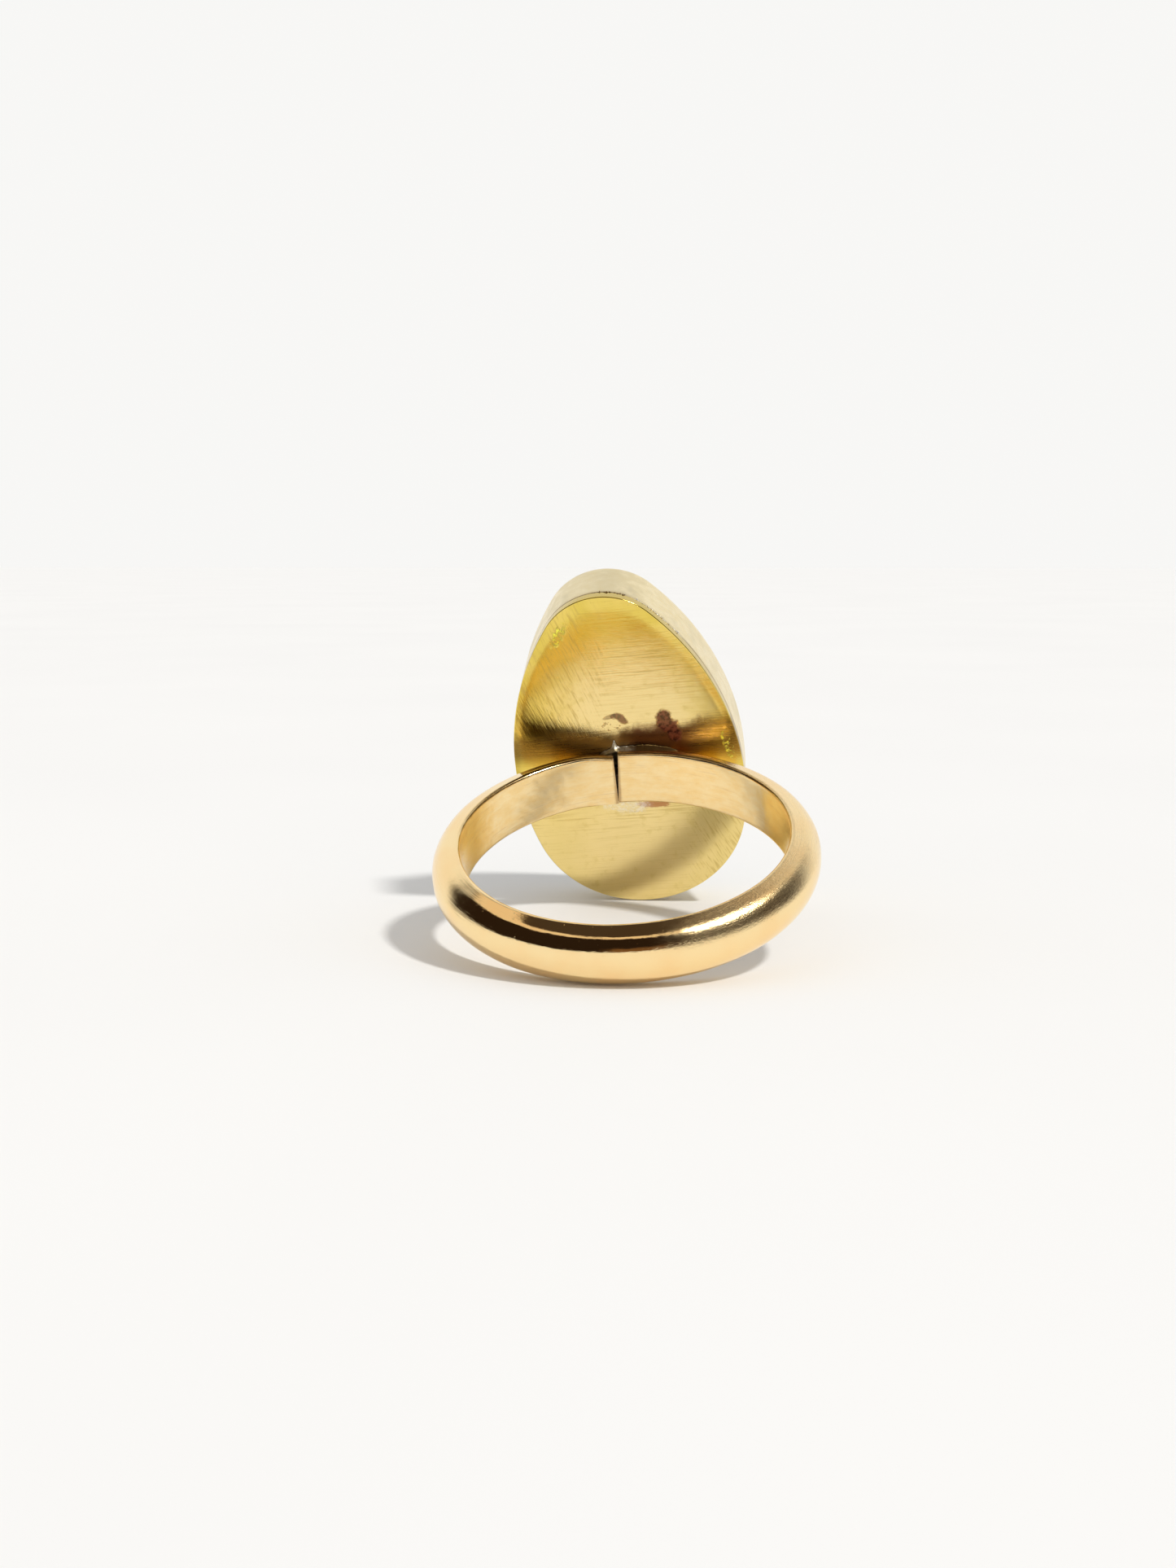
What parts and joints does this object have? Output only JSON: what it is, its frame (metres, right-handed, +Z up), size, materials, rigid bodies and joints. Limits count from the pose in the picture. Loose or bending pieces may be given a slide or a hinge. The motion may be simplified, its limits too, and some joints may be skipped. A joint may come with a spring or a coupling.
{
  "type": "cocktail ring",
  "caption": "Cocktail ring: half-round shank with an open butt joint, soldered to an egg-shaped bezel cup with a flat back plate and a cabochon stone.",
  "frame": {"origin": "centre of the finger hole", "axes": "+Z up as the ring lies on a table, +Y from the palm side of the shank to the head, X across the shank"},
  "size_m": [0.0204, 0.0271, 0.02],
  "materials": {
    "shank_metal": "polished rose-tinted gold colour, side faces left from the file",
    "plate_metal": "hand-brushed greenish yellow, fire-stained beside the joint",
    "bezel_metal": "polished pale yellow",
    "solder": "dull silver-coloured hard solder",
    "stone": "polished opaque cabochon"
  },
  "bodies": {
    "root": {"shank": "shank_metal", "shank_seam_solder": "solder", "head_joint_solder": "solder", "back_plate": "plate_metal", "bezel_base_solder": "solder", "bezel_wall": "bezel_metal", "bezel_seam_solder": "solder", "bearer": "plate_metal", "bearer_solder": "solder", "stone": "stone"}
  },
  "joints": []
}
